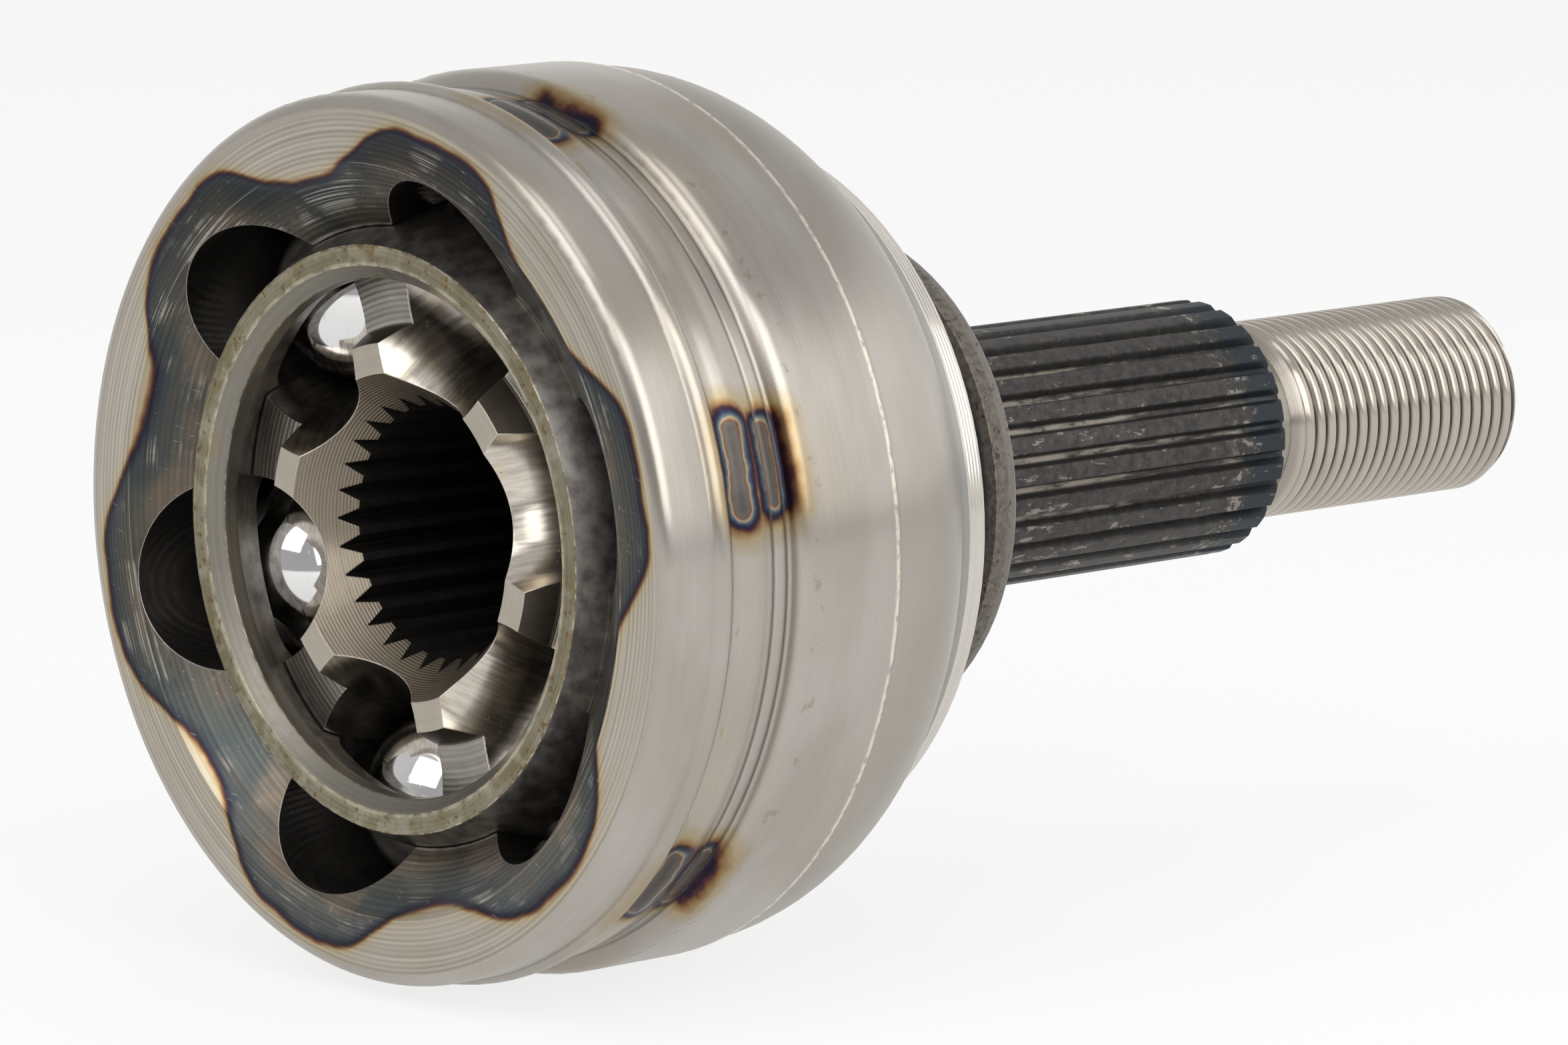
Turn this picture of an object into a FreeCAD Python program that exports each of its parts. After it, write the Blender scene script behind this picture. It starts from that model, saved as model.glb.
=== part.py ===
"""Fixed ball joint of a drive shaft: bell with splined stub, cage, inner race and six balls.

Millimetres. The origin is the joint centre, +X runs along the axis towards the threaded end
of the stub, and +Z is up. Positions along the axis that a name calls a depth are counted
from the open face of the bell.
"""
import FreeCAD, Part
import math
import os

# Balls and the grooves they roll in
BALL_COUNT = 6
BALL_RADIUS = 9.525
BALL_CIRCLE_RADIUS = 31.0
TRACK_OFFSET = 3.2
TRACK_CLEARANCE = 0.375
FIRST_BALL_ANGLE = 45.5
LARGEST_BEND = 45.0
TRACK_RUN_OUT = 1.5
TRACK_REACH = 60.0

# Spheres that slide on each other
INNER_SPHERE_RADIUS = 29.7
CAGE_WALL = 4.5
SPHERE_CLEARANCE = 0.15
WINDOW_CLEARANCE = 0.3

# Cage
CAGE_HALF_WIDTH = 16.85
CAGE_OPENING_RADIUS = 26.47
CAGE_RIM_FLAT = 2.05
WINDOW_CORNER = 4.5

# Inner race
LAND_HALF_WIDTH = 14.5
LAND_OUTER_RADIUS = 19.8
SHOULDER_HALF_WIDTH = 10.85
SHOULDER_INNER_RADIUS = 21.5
HUB_BEVEL_DROP = 3.1
HUB_BEVEL_FOOT = 0.2
BORE_TEETH = 30
BORE_ROOT_RADIUS = 14.2
BORE_TIP_RADIUS = 13.0
BORE_ROOT_SHARE = 0.04
BORE_TIP_SHARE = 0.30
COUNTERSINK_RADIUS = 16.75
COUNTERSINK_DEPTH = 5.8
REAR_CHAMFER = 1.2

# Bell, outside, from the open face back
FACE_DEPTH = 18.6
FACE_OUTER_RADIUS = 43.9
LIP_RADIUS = 45.3
LIP_EDGE = 1.6
FRONT_BEAD_RADIUS = 46.0
FRONT_BEAD_DEPTH = 7.4
FRONT_BEAD_WIDTH = 2.2
BOOT_GROOVE_RADIUS = 44.7
BOOT_GROOVE_START = 9.2
BOOT_GROOVE_END = 16.8
BOOT_RIDGE_DEPTH = 12.1
BOOT_RIDGE_HEIGHT = 0.35
BOOT_RIDGE_WIDTH = 3.2
BOOT_LINE_DEPTHS = (14.6, 16.4)
BOOT_LINE_WIDTH = 0.4
BOOT_LINE_SINK = 0.2
BAND_RADIUS = 46.5
BAND_START = 18.8
BAND_END = 30.0
BAND_STEP = 0.6
SHELL_CURVE_START = 32.5
SHELL_CURVE_END = 43.1
SHELL_CURVE_DROP = 4.2
COLLAR_START = 45.0
COLLAR_RADIUS = 39.7
RING_START = 46.6
RING_START_RADIUS = 39.25
RING_END = 50.35
RING_END_RADIUS = 37.55
RING_GROOVES = 4
RING_GROOVE_WIDTH = 0.4
RING_GROOVE_SINK = 0.16

# Bell, inside
MOUTH_RADIUS = 38.4
MOUTH_DEPTH = 5.0

# Rear of the bell and the flange that the hub sits against
REAR_WALL_DEPTH = 52.6
REAR_WALL_RADIUS = 31.0
REAR_WALL_HOLLOW = 1.0
NECK_RADIUS = 25.2
NECK_START = 57.2
NECK_STEP = 1.0
FLANGE_RADIUS = 27.05
FLANGE_START = 62.3
FLANGE_WIDTH = 3.2
FLANGE_BEVEL_WIDTH = 1.4
FLANGE_BEVEL_DROP = 0.45

# Stub, lengths from the face that the hub sits against
STUB_SHOULDER_RADIUS = 15.2
STUB_SHOULDER_LENGTH = 1.6
STUB_TEETH = 26
STUB_TIP_RADIUS = 14.08
STUB_ROOT_RADIUS = 12.98
STUB_TIP_SHARE = 0.55
STUB_ROOT_SHARE = 0.17
STUB_SPLINE_LENGTH = 54.1
SPLINE_CHAMFER = 0.8
THREAD_NECK_RADIUS = 9.95
THREAD_START_LENGTH = 58.5
THREAD_RADIUS = 11.0
THREAD_CHAMFER = 1.1
STUB_LENGTH = 95.0
LATHE_CENTRE_RADIUS = 3.0
LATHE_CENTRE_HALF_ANGLE = 30.0

# Worked out from the sizes above
PATH_RADIUS = math.hypot(BALL_CIRCLE_RADIUS, TRACK_OFFSET)
GROOVE_RADIUS = BALL_RADIUS + TRACK_CLEARANCE
CAGE_INNER_RADIUS = INNER_SPHERE_RADIUS + SPHERE_CLEARANCE
CAGE_OUTER_RADIUS = CAGE_INNER_RADIUS + CAGE_WALL
BELL_SPHERE_RADIUS = CAGE_OUTER_RADIUS + SPHERE_CLEARANCE
HUB_SEAT_DEPTH = FLANGE_START + FLANGE_WIDTH

ORIGIN = FreeCAD.Vector(0, 0, 0)
AXIS = FreeCAD.Vector(1, 0, 0)
SIDE = FreeCAD.Vector(0, 1, 0)
PAST = 1.0


def along(depth):
    """X of a place counted from the open face."""
    return depth - FACE_DEPTH


def on_sphere(radius, x):
    """Outline point of a sphere round the joint centre."""
    return (x, math.sqrt(radius ** 2 - x ** 2))


def sphere_arc(radius, start_x, end_x):
    """Middle and end of an arc round the joint centre."""
    turn = (math.asin(start_x / radius) + math.asin(end_x / radius)) / 2
    middle = (radius * math.sin(turn), radius * math.cos(turn))
    return (middle, on_sphere(radius, end_x))


def bulge(start, end, height):
    """Middle and end of an arc that stands out from the chord by height."""
    run = end[0] - start[0]
    rise = end[1] - start[1]
    chord = math.hypot(run, rise)
    middle_x = (start[0] + end[0]) / 2 - height * rise / chord
    middle_r = (start[1] + end[1]) / 2 + height * run / chord
    return ((middle_x, middle_r), end)


def rounded(start, end):
    """Middle and end of a quarter round between two points."""
    chord = math.hypot(end[0] - start[0], end[1] - start[1])
    return bulge(start, end, chord / 2 * math.tan(math.radians(22.5)))


def grooved(start, end, distances, width, sink):
    """Points on the way from start to end with V grooves at distances from start, then the end."""
    chord = math.hypot(end[0] - start[0], end[1] - start[1])
    run = (end[0] - start[0]) / chord
    rise = (end[1] - start[1]) / chord
    points = []
    for distance in distances:
        for place, down in ((distance - width / 2, 0), (distance, sink), (distance + width / 2, 0)):
            points.append((start[0] + place * run + down * rise, start[1] + place * rise - down * run))
    return points + [end]


def revolved(start, *steps):
    """Solid of revolution about X. A step is a point, or the middle and end of an arc."""
    edges = []
    here = FreeCAD.Vector(start[0], 0, start[1])
    for step in steps + (start,):
        if isinstance(step[0], tuple):
            middle = FreeCAD.Vector(step[0][0], 0, step[0][1])
            there = FreeCAD.Vector(step[1][0], 0, step[1][1])
            edges.append(Part.Arc(here, middle, there).toShape())
        else:
            there = FreeCAD.Vector(step[0], 0, step[1])
            edges.append(Part.makeLine(here, there))
        here = there
    return Part.Face(Part.Wire(edges)).revolve(ORIGIN, AXIS, 360)


def patterned(shape, first_angle, count):
    """Copies of a shape built on +Z, turned about X to angles from +Y towards +Z."""
    copies = []
    for index in range(count):
        copy = shape.copy()
        copy.rotate(ORIGIN, AXIS, first_angle + index * 360 / count - 90)
        copies.append(copy)
    return copies


def path_point(offset, angle):
    """Point of a ball's path in the XZ plane, at an angle from the radial direction."""
    turn = math.radians(angle)
    return FreeCAD.Vector(offset + PATH_RADIUS * math.sin(turn), 0, PATH_RADIUS * math.cos(turn))


def ball_path_end():
    """Angle on the bell's track of a ball in the plane of the bend, at the largest bend."""
    half = math.radians(LARGEST_BEND / 2)
    reach = math.sqrt(PATH_RADIUS ** 2 - (TRACK_OFFSET * math.cos(half)) ** 2)
    reach -= TRACK_OFFSET * math.sin(half)
    return math.degrees(math.asin((reach * math.sin(half) + TRACK_OFFSET) / PATH_RADIUS))


def track_tool(offset, start, end, closed):
    """Round groove swept about a track centre, with a rounded end where it is closed."""
    turn = math.radians(start)
    heading = FreeCAD.Vector(math.cos(turn), 0, -math.sin(turn))
    ring = Part.Circle(path_point(offset, start), heading, GROOVE_RADIUS).toShape()
    centre = FreeCAD.Vector(offset, 0, 0)
    tool = Part.Face(Part.Wire([ring])).revolve(centre, SIDE, end - start)
    if closed:
        turn = math.radians(end)
        heading = FreeCAD.Vector(math.cos(turn), 0, -math.sin(turn))
        cap = Part.makeSphere(GROOVE_RADIUS, path_point(offset, end), heading, 0, 90, 360)
        tool = tool.fuse(cap)
    return tool


def toothed_bar(teeth, tip, root, tip_share, root_share, start_x, end_x):
    """Prism with straight-sided teeth; the shares are of the pitch, at tip and root."""
    pitch = 2 * math.pi / teeth
    corners = []
    for index in range(teeth):
        middle = index * pitch
        outline = (
            (tip, -tip_share / 2),
            (tip, tip_share / 2),
            (root, 0.5 - root_share / 2),
            (root, 0.5 + root_share / 2),
        )
        for radius, share in outline:
            turn = middle + share * pitch
            corners.append(FreeCAD.Vector(start_x, radius * math.cos(turn), radius * math.sin(turn)))
    face = Part.Face(Part.makePolygon(corners + corners[:1]))
    return face.extrude(FreeCAD.Vector(end_x - start_x, 0, 0))


def bell_outside():
    """Outside of the bell, down to the hub seat, as one turned blank."""
    face_x = along(0)
    lip_edge = (along(LIP_EDGE), LIP_RADIUS)
    bead_start = (along(FRONT_BEAD_DEPTH - FRONT_BEAD_WIDTH / 2), LIP_RADIUS)
    bead_end = (along(FRONT_BEAD_DEPTH + FRONT_BEAD_WIDTH / 2), LIP_RADIUS)
    ridge_start = (along(BOOT_RIDGE_DEPTH - BOOT_RIDGE_WIDTH / 2), BOOT_GROOVE_RADIUS)
    ridge_end = (along(BOOT_RIDGE_DEPTH + BOOT_RIDGE_WIDTH / 2), BOOT_GROOVE_RADIUS)
    groove_end = (along(BOOT_GROOVE_END), BOOT_GROOVE_RADIUS)
    boot_lines = [along(depth) - ridge_end[0] for depth in BOOT_LINE_DEPTHS]
    shoulder = (along(BAND_START), BAND_RADIUS)
    band_foot = BAND_RADIUS - BAND_STEP
    curve_start = (along(SHELL_CURVE_START), band_foot)
    curve_end = (along(SHELL_CURVE_END), band_foot - SHELL_CURVE_DROP)
    ring_start = (along(RING_START), RING_START_RADIUS)
    ring_end = (along(RING_END), RING_END_RADIUS)
    ring_length = math.hypot(RING_END - RING_START, RING_START_RADIUS - RING_END_RADIUS)
    ring_lines = [ring_length * (index + 1) / (RING_GROOVES + 1) for index in range(RING_GROOVES)]
    wall = (along(REAR_WALL_DEPTH), REAR_WALL_RADIUS)
    neck = (along(NECK_START), NECK_RADIUS)
    flange_x = along(FLANGE_START)
    seat_x = along(HUB_SEAT_DEPTH)
    chord = math.hypot(curve_end[0] - curve_start[0], SHELL_CURVE_DROP)
    curve_radius = chord ** 2 / (2 * SHELL_CURVE_DROP)
    curve_height = curve_radius - math.sqrt(curve_radius ** 2 - (chord / 2) ** 2)
    face_edge = (face_x, FACE_OUTER_RADIUS)
    return revolved(
        (face_x, 0),
        face_edge,
        rounded(face_edge, lip_edge),
        bead_start,
        bulge(bead_start, bead_end, FRONT_BEAD_RADIUS - LIP_RADIUS),
        (along(BOOT_GROOVE_START), BOOT_GROOVE_RADIUS),
        ridge_start,
        bulge(ridge_start, ridge_end, BOOT_RIDGE_HEIGHT),
        *grooved(ridge_end, groove_end, boot_lines, BOOT_LINE_WIDTH, BOOT_LINE_SINK),
        rounded(groove_end, shoulder),
        (along(BAND_END), BAND_RADIUS),
        (along(BAND_END) + BAND_STEP, band_foot),
        curve_start,
        bulge(curve_start, curve_end, curve_height),
        (along(COLLAR_START), COLLAR_RADIUS),
        ring_start,
        *grooved(ring_start, ring_end, ring_lines, RING_GROOVE_WIDTH, RING_GROOVE_SINK),
        wall,
        bulge(wall, neck, -REAR_WALL_HOLLOW),
        (flange_x - NECK_STEP, NECK_RADIUS),
        (flange_x, FLANGE_RADIUS),
        (seat_x - FLANGE_BEVEL_WIDTH, FLANGE_RADIUS),
        (seat_x, FLANGE_RADIUS - FLANGE_BEVEL_DROP),
        (seat_x, 0),
    )


def bell_cavity():
    """Cone of the mouth and the sphere that the cage slides in."""
    mouth_x = along(MOUTH_DEPTH)
    return revolved(
        (along(0) - PAST, 0),
        (along(0) - PAST, MOUTH_RADIUS),
        (along(0), MOUTH_RADIUS),
        on_sphere(BELL_SPHERE_RADIUS, mouth_x),
        sphere_arc(BELL_SPHERE_RADIUS, mouth_x, BELL_SPHERE_RADIUS),
    )


def stub():
    """Splined and threaded stub behind the hub seat."""
    seat_x = along(HUB_SEAT_DEPTH)
    shoulder_end = seat_x + STUB_SHOULDER_LENGTH
    spline_end = seat_x + STUB_SPLINE_LENGTH
    thread_x = seat_x + THREAD_START_LENGTH
    end_x = seat_x + STUB_LENGTH
    centre_depth = LATHE_CENTRE_RADIUS / math.tan(math.radians(LATHE_CENTRE_HALF_ANGLE))
    envelope = revolved(
        (seat_x - PAST, 0),
        (seat_x - PAST, STUB_SHOULDER_RADIUS),
        (seat_x, STUB_SHOULDER_RADIUS),
        (shoulder_end, STUB_TIP_RADIUS),
        (spline_end - SPLINE_CHAMFER, STUB_TIP_RADIUS),
        (spline_end, STUB_TIP_RADIUS - SPLINE_CHAMFER),
        (spline_end, THREAD_NECK_RADIUS),
        (thread_x, THREAD_NECK_RADIUS),
        (thread_x + THREAD_CHAMFER, THREAD_RADIUS),
        (end_x - THREAD_CHAMFER, THREAD_RADIUS),
        (end_x, THREAD_RADIUS - THREAD_CHAMFER),
        (end_x, LATHE_CENTRE_RADIUS),
        (end_x - centre_depth, 0),
    )
    outer_radius = STUB_SHOULDER_RADIUS + PAST
    blank = Part.makeCylinder(outer_radius, spline_end + PAST - shoulder_end,
                              FreeCAD.Vector(shoulder_end, 0, 0), AXIS)
    flank = (1 - STUB_TIP_SHARE - STUB_ROOT_SHARE) / (STUB_TIP_RADIUS - STUB_ROOT_RADIUS)
    teeth = toothed_bar(STUB_TEETH, STUB_TIP_RADIUS + PAST, STUB_ROOT_RADIUS,
                        STUB_TIP_SHARE - flank * PAST, STUB_ROOT_SHARE,
                        shoulder_end - PAST, spline_end + 2 * PAST)
    return envelope.cut(blank.cut(teeth))


def outer_race():
    """Bell and stub, one forging."""
    body = bell_outside().fuse(stub())
    tool = track_tool(-TRACK_OFFSET, -TRACK_REACH, ball_path_end() + TRACK_RUN_OUT, True)
    return body.cut([bell_cavity()] + patterned(tool, FIRST_BALL_ANGLE, BALL_COUNT))


def cage():
    """Ring between two spheres with a window for each ball."""
    rim_inner = math.sqrt(CAGE_OUTER_RADIUS ** 2 - CAGE_HALF_WIDTH ** 2) - CAGE_RIM_FLAT
    chamfer = rim_inner - CAGE_OPENING_RADIUS
    lip_x = math.sqrt(CAGE_INNER_RADIUS ** 2 - CAGE_OPENING_RADIUS ** 2)
    ring = revolved(
        (-CAGE_HALF_WIDTH, rim_inner),
        on_sphere(CAGE_OUTER_RADIUS, -CAGE_HALF_WIDTH),
        sphere_arc(CAGE_OUTER_RADIUS, -CAGE_HALF_WIDTH, CAGE_HALF_WIDTH),
        (CAGE_HALF_WIDTH, rim_inner),
        (CAGE_HALF_WIDTH - chamfer, CAGE_OPENING_RADIUS),
        (lip_x, CAGE_OPENING_RADIUS),
        sphere_arc(CAGE_INNER_RADIUS, lip_x, -lip_x),
        (-CAGE_HALF_WIDTH + chamfer, CAGE_OPENING_RADIUS),
    )
    return ring.cut(patterned(window_tool(), FIRST_BALL_ANGLE, BALL_COUNT))


def window_tool():
    """Rounded window, wide enough for the ball's sideways travel at the largest bend."""
    diagonal = math.radians(45)
    swing = math.atan(math.tan(diagonal) / math.cos(math.radians(LARGEST_BEND / 2))) - diagonal
    half_length = BALL_RADIUS + WINDOW_CLEARANCE + BALL_CIRCLE_RADIUS * math.sin(swing)
    half_height = BALL_RADIUS + WINDOW_CLEARANCE
    bottom = BALL_CIRCLE_RADIUS - BALL_RADIUS
    block = Part.makeBox(2 * half_height, 2 * half_length, 2 * BALL_RADIUS,
                         FreeCAD.Vector(-half_height, -half_length, bottom))
    uprights = [edge for edge in block.Edges if abs(edge.tangentAt(edge.FirstParameter).z) > 0.5]
    return block.makeFillet(WINDOW_CORNER, uprights)


def inner_race():
    """Star with a splined bore, a countersink at its front and a track for each ball."""
    bevel_end = (-LAND_HALF_WIDTH + HUB_BEVEL_DROP, SHOULDER_INNER_RADIUS - HUB_BEVEL_FOOT)
    rim_x = SHOULDER_HALF_WIDTH
    body = revolved(
        (-LAND_HALF_WIDTH, 0),
        (-LAND_HALF_WIDTH, LAND_OUTER_RADIUS),
        bevel_end,
        (-rim_x, SHOULDER_INNER_RADIUS),
        on_sphere(INNER_SPHERE_RADIUS, -rim_x),
        sphere_arc(INNER_SPHERE_RADIUS, -rim_x, rim_x),
        (rim_x, SHOULDER_INNER_RADIUS),
        (-bevel_end[0], bevel_end[1]),
        (LAND_HALF_WIDTH, LAND_OUTER_RADIUS),
        (LAND_HALF_WIDTH, 0),
    )
    spread = COUNTERSINK_RADIUS - BORE_TIP_RADIUS
    chamfer_inner = BORE_ROOT_RADIUS - PAST
    countersink = revolved(
        (-LAND_HALF_WIDTH - PAST, 0),
        (-LAND_HALF_WIDTH - PAST, COUNTERSINK_RADIUS + PAST * spread / COUNTERSINK_DEPTH),
        (-LAND_HALF_WIDTH + COUNTERSINK_DEPTH, BORE_TIP_RADIUS),
        (-LAND_HALF_WIDTH + COUNTERSINK_DEPTH, 0),
    )
    rear_chamfer = revolved(
        (LAND_HALF_WIDTH + PAST, 0),
        (LAND_HALF_WIDTH + PAST, BORE_ROOT_RADIUS + REAR_CHAMFER + PAST),
        (LAND_HALF_WIDTH - REAR_CHAMFER - PAST, chamfer_inner),
        (LAND_HALF_WIDTH - REAR_CHAMFER - PAST, 0),
    )
    bore = toothed_bar(BORE_TEETH, BORE_ROOT_RADIUS, BORE_TIP_RADIUS, BORE_ROOT_SHARE, BORE_TIP_SHARE,
                       -LAND_HALF_WIDTH - PAST, LAND_HALF_WIDTH + PAST)
    tool = track_tool(TRACK_OFFSET, -TRACK_REACH, TRACK_REACH, False)
    tracks = patterned(tool, FIRST_BALL_ANGLE, BALL_COUNT)
    return body.cut([countersink, rear_chamfer, bore] + tracks)


def balls():
    """Balls in their windows, joint straight, as name and shape."""
    ball = Part.makeSphere(BALL_RADIUS, FreeCAD.Vector(0, 0, BALL_CIRCLE_RADIUS))
    copies = patterned(ball, FIRST_BALL_ANGLE, BALL_COUNT)
    return [("ball_%d" % (index + 1), copy) for index, copy in enumerate(copies)]


def single_solid(shape):
    """The one solid of a shape, with leftover seams removed."""
    solids = shape.removeSplitter().Solids
    if len(solids) != 1:
        raise ValueError("expected one solid, got %d" % len(solids))
    return solids[0]


os.makedirs("parts", exist_ok=True)
pieces = [("outer_race", outer_race()), ("cage", cage()), ("inner_race", inner_race())]
for name, shape in pieces + balls():
    single_solid(shape).exportStep("parts/%s.step" % name)
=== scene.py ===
import bmesh
import bpy
import math
from mathutils import Matrix, Vector


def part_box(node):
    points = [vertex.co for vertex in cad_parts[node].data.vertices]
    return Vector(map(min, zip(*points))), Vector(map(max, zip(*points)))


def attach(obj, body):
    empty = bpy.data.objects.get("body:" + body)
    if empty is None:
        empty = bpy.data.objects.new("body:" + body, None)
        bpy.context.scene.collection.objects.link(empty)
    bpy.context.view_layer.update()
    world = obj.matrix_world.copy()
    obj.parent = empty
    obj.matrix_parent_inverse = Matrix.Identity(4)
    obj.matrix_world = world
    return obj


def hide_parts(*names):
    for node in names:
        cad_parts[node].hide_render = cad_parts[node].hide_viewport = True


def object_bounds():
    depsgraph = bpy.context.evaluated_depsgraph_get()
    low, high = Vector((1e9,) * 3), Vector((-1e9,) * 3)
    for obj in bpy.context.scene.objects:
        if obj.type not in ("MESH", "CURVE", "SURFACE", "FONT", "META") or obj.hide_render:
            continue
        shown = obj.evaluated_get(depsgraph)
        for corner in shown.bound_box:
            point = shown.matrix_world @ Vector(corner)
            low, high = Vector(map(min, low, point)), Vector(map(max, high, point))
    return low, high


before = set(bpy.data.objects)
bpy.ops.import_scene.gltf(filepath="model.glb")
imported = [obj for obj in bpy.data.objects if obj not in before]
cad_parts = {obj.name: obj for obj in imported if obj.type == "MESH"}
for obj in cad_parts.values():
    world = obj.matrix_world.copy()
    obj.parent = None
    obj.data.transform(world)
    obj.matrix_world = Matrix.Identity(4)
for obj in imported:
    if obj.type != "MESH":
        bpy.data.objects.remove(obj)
cad_low, cad_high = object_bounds()

MM = 0.001

# Places along the axis and radii, in millimetres from the joint centre. A track is a groove of
# radius TRACK_GROOVE, bent about a centre at TRACK_OFFSET on the axis, and lies within
# TRACKS_WITHIN.
FACE_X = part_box("outer_race")[0].x / MM
RACE_FRONT_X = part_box("inner_race")[0].x / MM
CAGE_RIM_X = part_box("cage")[0].x / MM
STUB_END_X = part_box("outer_race")[1].x / MM
BALLS = 6
BALL_CIRCLE = 31.0
TRACK_OFFSET = 3.2
TRACK_GROOVE = 9.9
TRACKS_WITHIN = 41.5
MOUTH_RADIUS = 38.4
CAVITY_RADIUS = 34.5
BOOT_GROOVE_START_X = FACE_X + 9.2
BOOT_GROOVE_RADIUS = 44.7
BOOT_LINES_X = (FACE_X + 14.6, FACE_X + 16.4)
BAND_START_X = FACE_X + 18.8
BAND_END_X = FACE_X + 30.0
COLLAR_X = FACE_X + 45.0
RING_START_X = FACE_X + 46.6
RING_END_X = FACE_X + 50.35
FLANGE_X = FACE_X + 61.8
SEAT_X = FACE_X + 65.5
SPLINE_END_X = FACE_X + 119.6
SPLINE_TIP = 14.08
SPLINE_ROOT = 12.98
THREAD_START_X = FACE_X + 124.0
THREAD_RADIUS = 11.0
NECK_RADIUS = 9.95
BORE_ROOT = 14.2
COUNTERSINK_RADIUS = 16.75
COUNTERSINK_SLOPE = 0.65

# Thread: lengths in millimetres, the share of half a pitch that a flank takes, the sides and
# steps of its mesh, and the angle in degrees from which its edges stay sharp
THREAD_PITCH = 1.68
THREAD_DEPTH = 0.85
THREAD_FLANK_SHARE = 0.80
THREAD_CHAMFER = 1.1
THREAD_PLAIN_LENGTH = 0.6
THREAD_RUN_IN = 2.5
THREAD_SIDES = 128
THREAD_STEPS_A_TURN = 13
THREAD_SHARP_ANGLE = 35.0

# Radii and depths of the rings of the lathe centre in the end of the stub, in millimetres
LATHE_CENTRE = ((3.0, 0.0), (1.2, 3.1))

# Angles round the axis, in degrees
FIRST_TRACK = 45.5
TRACK_PITCH = 60.0
RADIANS = math.pi / 180

# Camera of the photograph: place in metres, lens and frame in millimetres
CAMERA_PLACE = (-0.5501, -0.6356, 0.1319)
CAMERA_RIGHT = (0.73357, -0.67961, 0.0)
CAMERA_UP = (0.10537, 0.11373, 0.98791)
CAMERA_LENS = 191.09
CAMERA_FRAME = 36.0
LEVEL_FORWARD = (0.67961, 0.73357, 0.0)

# Studio: brightness of the surroundings, the share of plain white in the floor as it is seen
# and as metal mirrors it, and lengths in metres
WHITE = (1.0, 1.0, 1.0, 1.0)
SURROUNDINGS = 0.64
BACK_GLOW = 0.34
RIGHT_GLOW = 0.52
FRONT_SHADE = 0.20
FLOOR_COLOUR = (0.82, 0.82, 0.81, 1.0)
FLOOR_SEEN = 0.8
FLOOR_MIRRORED = 0.58
FLOOR_HALF = 3.0
FLOOR_GAP = 0.0005
LIGHT_AIM = (0.03, 0.0, 0.0)
LIGHT_DISTANCE = 1.1


class Value:
    """A number or colour in a node tree; arithmetic on it adds nodes."""

    def __init__(self, tree, socket):
        self.tree = tree
        self.socket = socket

    def math(self, operation, *others):
        node = self.tree.nodes.new("ShaderNodeMath")
        node.operation = operation
        for index, operand in enumerate((self,) + others):
            plug(self.tree, node.inputs[index], operand)
        return Value(self.tree, node.outputs[0])

    def __add__(self, other):
        return self.math("ADD", other)

    def __sub__(self, other):
        return self.math("SUBTRACT", other)

    def __mul__(self, other):
        return self.math("MULTIPLY", other)

    def __truediv__(self, other):
        return self.math("DIVIDE", other)

    def __rsub__(self, other):
        return self * -1 + other

    def power(self, other):
        return self.math("POWER", other)

    def root(self):
        return self.math("SQRT")

    def size(self):
        return self.math("ABSOLUTE")

    def least(self, other):
        return self.math("MINIMUM", other)

    def most(self, other):
        return self.math("MAXIMUM", other)

    def step(self, low, high):
        """0 up to low, 1 from high on, smooth between; low may be the higher one."""
        node = self.tree.nodes.new("ShaderNodeMapRange")
        node.interpolation_type = "SMOOTHSTEP"
        plug(self.tree, node.inputs["Value"], self)
        plug(self.tree, node.inputs["From Min"], min(low, high))
        plug(self.tree, node.inputs["From Max"], max(low, high))
        node.inputs["To Min"].default_value = 0.0 if low < high else 1.0
        node.inputs["To Max"].default_value = 1.0 if low < high else 0.0
        return Value(self.tree, node.outputs["Result"])

    def between(self, low, high, soft):
        """1 from low to high, fading over soft on both sides."""
        return self.step(low - soft, low + soft) * self.step(high + soft, high - soft)


def plug(tree, socket, operand):
    """Links a value to a socket, or sets the socket to a number or colour."""
    if isinstance(operand, Value):
        tree.links.new(operand.socket, socket)
    elif socket.type == "RGBA":
        socket.default_value = tuple(operand)[:3] + (1.0,)
    else:
        socket.default_value = operand


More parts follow.
